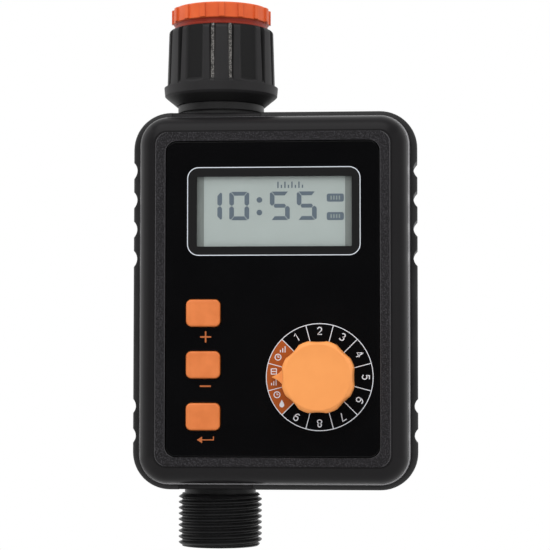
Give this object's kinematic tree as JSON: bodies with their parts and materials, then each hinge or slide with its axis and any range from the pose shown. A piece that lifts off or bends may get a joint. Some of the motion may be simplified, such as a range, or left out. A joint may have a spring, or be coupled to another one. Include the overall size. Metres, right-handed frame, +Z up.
{
  "type": "irrigation controller",
  "caption": "Battery tap timer with a display, push keys and a selector dial, a swivel nut with a screw adapter above and a threaded hose outlet below a motorised ball valve.",
  "frame": {"origin": "on the water axis at the mouth of the tap adapter, where the tap's thread goes in", "axes": "+Z up along the water axis towards the tap, -Y out of the front panel, +X to the right seen from the front"},
  "size_m": [0.0891, 0.0587, 0.1716],
  "materials": {
    "shell_plastic": "satin moulded black",
    "panel_gloss": "polished black",
    "window_clear": "clear",
    "display_cell": "grey-green liquid crystal",
    "natural_plastic": "natural moulded",
    "board": "green lacquer",
    "key_orange": "satin orange",
    "dial_orange": "satin light orange",
    "adapter_orange": "satin orange-red",
    "dome_rubber": "translucent silicone",
    "seal_rubber": "black",
    "screw_steel": "zinc plated",
    "cell_steel": "plain",
    "ball_steel": "polished",
    "stem_brass": "turned"
  },
  "bodies": {
    "housing": {"front_shell": "shell_plastic", "rear_shell": "shell_plastic", "shell_gasket": "seal_rubber", "shell_screws": "screw_steel", "front_panel": "panel_gloss", "display_window": "window_clear", "display_module": "display_cell", "display_holder": "natural_plastic", "main_board": "board", "board_screws": "screw_steel", "key_dome_plus": "dome_rubber", "key_dome_minus": "dome_rubber", "key_dome_enter": "dome_rubber", "selector_switch": "shell_plastic", "dial_seal": "seal_rubber", "battery_cells": "cell_steel", "battery_contacts": "screw_steel", "nut_retaining_ring": "screw_steel", "inlet_washer": "seal_rubber", "inlet_filter": "natural_plastic", "valve_body": "shell_plastic", "neck_seal": "seal_rubber", "ball_seats": "natural_plastic", "stem_seals": "seal_rubber", "body_seal": "seal_rubber", "outlet_spigot": "shell_plastic", "outlet_collar_seal": "seal_rubber", "gear_plate_inner": "natural_plastic", "gear_plate_outer": "natural_plastic", "gear_pillars": "screw_steel", "idler_pin": "screw_steel", "drive_motor": "cell_steel", "motor_screws": "screw_steel"},
    "nut": {"swivel_nut": "shell_plastic"},
    "tap_seal": {"tap_washer": "seal_rubber"},
    "adapter": {"tap_adapter": "adapter_orange"},
    "dial": {"dial_knob": "dial_orange", "dial_shaft": "natural_plastic"},
    "key_plus": {"button_plus": "key_orange"},
    "key_minus": {"button_minus": "key_orange"},
    "key_enter": {"button_enter": "key_orange"},
    "valve_rotor": {"valve_ball": "ball_steel", "valve_stem": "stem_brass", "output_gear": "natural_plastic"},
    "idler": {"idler_gear": "natural_plastic"},
    "pinion": {"motor_pinion": "stem_brass"},
    "battery_door": {"battery_cover": "shell_plastic", "cover_seal": "seal_rubber", "cover_screws": "screw_steel"}
  },
  "joints": [
    {"name": "nut_swivel", "type": "hinge", "parent": "housing", "child": "nut", "pos_m": [0, 0, -0.015], "axis": [0, 0, 1], "continuous": true},
    {"name": "adapter_lift", "type": "slide", "parent": "nut", "child": "tap_seal", "axis": [0, 0, 1], "range_m": [0, 0.0109]},
    {"name": "adapter_turn", "type": "hinge", "parent": "tap_seal", "child": "adapter", "pos_m": [0, 0, 0], "axis": [0, 0, 1], "range_deg": [0, 2160]},
    {"name": "dial_turn", "type": "hinge", "parent": "housing", "child": "dial", "pos_m": [0.03265, -0.03, -0.11822], "axis": [0, -1, 0], "continuous": true},
    {"name": "plus_press", "type": "slide", "parent": "housing", "child": "key_plus", "axis": [0, 1, 0], "range_m": [0, 0.0009], "stiffness_N_per_m": 800, "deforming": ["key_dome_plus"]},
    {"name": "minus_press", "type": "slide", "parent": "housing", "child": "key_minus", "axis": [0, 1, 0], "range_m": [0, 0.0009], "stiffness_N_per_m": 800, "deforming": ["key_dome_minus"]},
    {"name": "enter_press", "type": "slide", "parent": "housing", "child": "key_enter", "axis": [0, 1, 0], "range_m": [0, 0.0009], "stiffness_N_per_m": 800, "deforming": ["key_dome_enter"]},
    {"name": "stem_turn", "type": "hinge", "parent": "housing", "child": "valve_rotor", "pos_m": [0.02, 0, -0.07385], "axis": [1, 0, 0], "range_deg": [0, 90]},
    {"name": "idler_turn", "type": "hinge", "parent": "housing", "child": "idler", "pos_m": [0.0225, 0.00853, -0.06121], "axis": [1, 0, 0], "range_deg": [-195.5, 0.5]},
    {"name": "pinion_turn", "type": "hinge", "parent": "housing", "child": "pinion", "pos_m": [0.026, -0.00348, -0.06226], "axis": [1, 0, 0], "range_deg": [-1, 586]},
    {"name": "cover_lift", "type": "slide", "parent": "housing", "child": "battery_door", "axis": [0, 1, 0], "range_m": [0, 0.03]}
  ],
  "couplings": [
    {"joint": "adapter_lift", "follows": "adapter_turn", "m_per_rad": 0.00028871},
    {"joint": "idler_turn", "follows": "stem_turn", "ratio": -2.1667},
    {"joint": "pinion_turn", "follows": "stem_turn", "ratio": 6.5}
  ]
}
